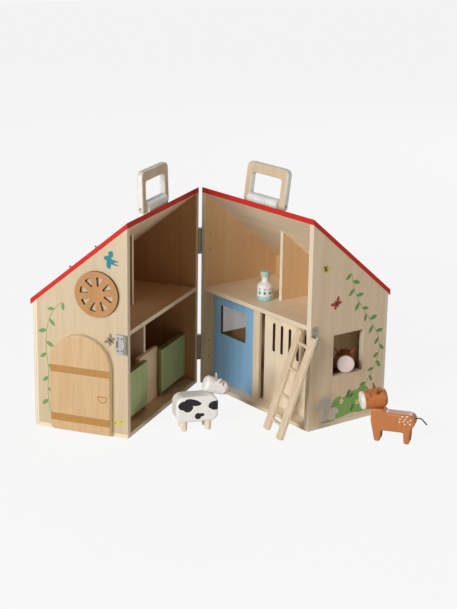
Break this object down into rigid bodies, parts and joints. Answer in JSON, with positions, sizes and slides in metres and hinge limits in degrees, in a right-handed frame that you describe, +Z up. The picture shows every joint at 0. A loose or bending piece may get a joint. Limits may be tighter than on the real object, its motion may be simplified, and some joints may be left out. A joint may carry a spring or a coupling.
{
  "type": "toy barn with opening doors",
  "caption": "Wooden toy barn on a book hinge, with loft shelves, blue and slotted doors, stall gates, arched side door, carry handles, ladder, milk bottle, cows and calf.",
  "frame": {"origin": "centre of the underside of the right half's floor board, on the surface that the barn stands on", "axes": "+Z up, +X along the right half from its hinge gable to its window gable, +Y from its open face to its back wall"},
  "size_m": [0.5051, 0.4391, 0.3515],
  "materials": {
    "birch_ply": "satin lacquered birch plywood",
    "beech": "satin lacquered beech",
    "white_lacquer": "white gloss paint on wood",
    "cow_white": "white satin paint on wood",
    "cream": "cream satin paint on wood",
    "pink": "pink satin paint on wood",
    "white": "white satin paint on wood",
    "calf_brown": "orange-brown satin paint on wood",
    "cow_brown": "brown satin paint on wood",
    "cord": "black cord",
    "door_blue": "blue satin paint on wood",
    "gate_green": "soft green satin paint on wood",
    "door_tan": "tan stained plywood with printed boards",
    "wheel_brown": "orange-brown paint on plywood",
    "cap_green": "pale green paint on wood",
    "nickel_plate": "nickel-plated steel",
    "steel": "bright steel pin"
  },
  "bodies": {
    "right_half": {"right_floor_board": "birch_ply", "right_hinge_gable": "birch_ply", "right_outer_gable": "birch_ply", "right_back_wall": "birch_ply", "right_roof": "birch_ply", "right_shelf": "birch_ply", "right_loft_divider": "birch_ply", "right_hinge_leaves": "nickel_plate", "right_handle_block": "white_lacquer", "right_handle_pin": "steel", "blue_door_pivots": "steel", "door_post": "birch_ply", "button_plate": "nickel_plate", "brown_cow_body": "cow_brown", "brown_cow_head": "cow_brown", "brown_cow_muzzle": "pink"},
    "blue_door": {"blue_door": "door_blue"},
    "sliding_door": {"sliding_door": "birch_ply"},
    "right_handle": {"right_handle": "beech"},
    "turn_button": {"turn_button": "nickel_plate"},
    "hinge_pins": {"hinge_pins": "nickel_plate"},
    "left_half": {"left_floor_board": "birch_ply", "left_hinge_gable": "birch_ply", "left_outer_gable": "birch_ply", "left_back_wall": "birch_ply", "left_roof": "birch_ply", "left_shelf": "birch_ply", "left_loft_divider": "birch_ply", "left_hinge_leaves": "nickel_plate", "left_handle_block": "white_lacquer", "left_handle_pin": "steel", "stall_divider": "birch_ply", "stall_post": "birch_ply", "gate_pins": "steel", "wheel_ornament": "wheel_brown", "hasp_base": "nickel_plate", "gable_hinge_leaves": "nickel_plate", "door_hinge_pins": "nickel_plate"},
    "left_handle": {"left_handle": "beech"},
    "inner_gate": {"inner_gate": "gate_green"},
    "outer_gate": {"outer_gate": "gate_green"},
    "arched_door": {"arched_door": "door_tan", "door_hinge_leaves": "nickel_plate"},
    "hasp": {"hasp_leaf": "nickel_plate"},
    "ladder": {"ladder_left_rail": "birch_ply", "ladder_right_rail": "birch_ply", "ladder_rungs": "birch_ply"},
    "cow": {"cow_body": "cow_white", "cow_legs": "cow_white", "cow_head": "cow_white", "cow_muzzle": "pink", "cow_ears": "cream"},
    "calf": {"calf_body": "calf_brown", "calf_head": "calf_brown", "calf_muzzle": "white", "calf_ears": "calf_brown", "calf_tail": "cord"},
    "bottle": {"milk_bottle": "white_lacquer", "bottle_cap": "cap_green"}
  },
  "joints": [
    {"name": "book_open", "type": "hinge", "parent": "right_half", "child": "hinge_pins", "pos_m": [-0.1311, -0.0703, 0], "axis": [0, 0, -1], "range_deg": [0, 122.6]},
    {"name": "book_close", "type": "hinge", "parent": "hinge_pins", "child": "left_half", "pos_m": [-0.1311, -0.0703, 0], "axis": [0, 0, -1], "range_deg": [-57.4, 0]},
    {"name": "blue_door_hinge", "type": "hinge", "parent": "right_half", "child": "blue_door", "pos_m": [-0.0242, -0.0504, 0], "axis": [0, 0, 1], "range_deg": [0, 100]},
    {"name": "sliding_door_track", "type": "slide", "parent": "right_half", "child": "sliding_door", "axis": [-1, 0, 0], "range_m": [0, 0.105]},
    {"name": "right_handle_hinge", "type": "hinge", "parent": "right_half", "child": "right_handle", "pos_m": [0.0015, -0.0538, 0.3005], "axis": [-1, 0, 0], "range_deg": [-8, 126]},
    {"name": "left_handle_hinge", "type": "hinge", "parent": "left_half", "child": "left_handle", "pos_m": [-0.07356, -0.1909, 0.3005], "axis": [0.5388, -0.8425, 0], "range_deg": [-2, 132]},
    {"name": "inner_gate_hinge", "type": "hinge", "parent": "left_half", "child": "inner_gate", "pos_m": [-0.0958, -0.16364, 0], "axis": [0, 0, -1], "range_deg": [0, 100]},
    {"name": "outer_gate_hinge", "type": "hinge", "parent": "left_half", "child": "outer_gate", "pos_m": [-0.06391, -0.21351, 0], "axis": [0, 0, 1], "range_deg": [0, 100]},
    {"name": "arched_door_hinge", "type": "hinge", "parent": "left_half", "child": "arched_door", "pos_m": [-0.08852, -0.34902, 0], "axis": [0, 0, -1], "range_deg": [0, 98]},
    {"name": "hasp_hinge", "type": "hinge", "parent": "left_half", "child": "hasp", "pos_m": [0.0066, -0.29062, 0], "axis": [0, 0, 1], "range_deg": [0, 180]},
    {"name": "turn_button_pivot", "type": "hinge", "parent": "right_half", "child": "turn_button", "pos_m": [0.1265, -0.063, 0.1335], "axis": [1, 0, 0], "range_deg": [0, 90]},
    {"name": "ladder_sweep", "type": "hinge", "parent": "right_half", "child": "ladder", "pos_m": [0.1485, -0.076, 0], "axis": [0, 0, -1], "range_deg": [-114.8, 0]},
    {"name": "cow_step", "type": "slide", "parent": "ladder", "child": "cow", "axis": [1, 0, 0], "range_m": [0, 0.064]},
    {"name": "calf_lift", "type": "slide", "parent": "right_half", "child": "calf", "axis": [0, 0, 1], "range_m": [0, 0.35]},
    {"name": "bottle_slide", "type": "slide", "parent": "right_half", "child": "bottle", "axis": [0, -1, 0], "range_m": [0, 0.09]}
  ],
  "couplings": [
    {"joint": "ladder_sweep", "follows": "book_close", "ratio": 2},
    {"joint": "cow_step", "follows": "outer_gate_hinge", "m_per_rad": 0.036}
  ]
}
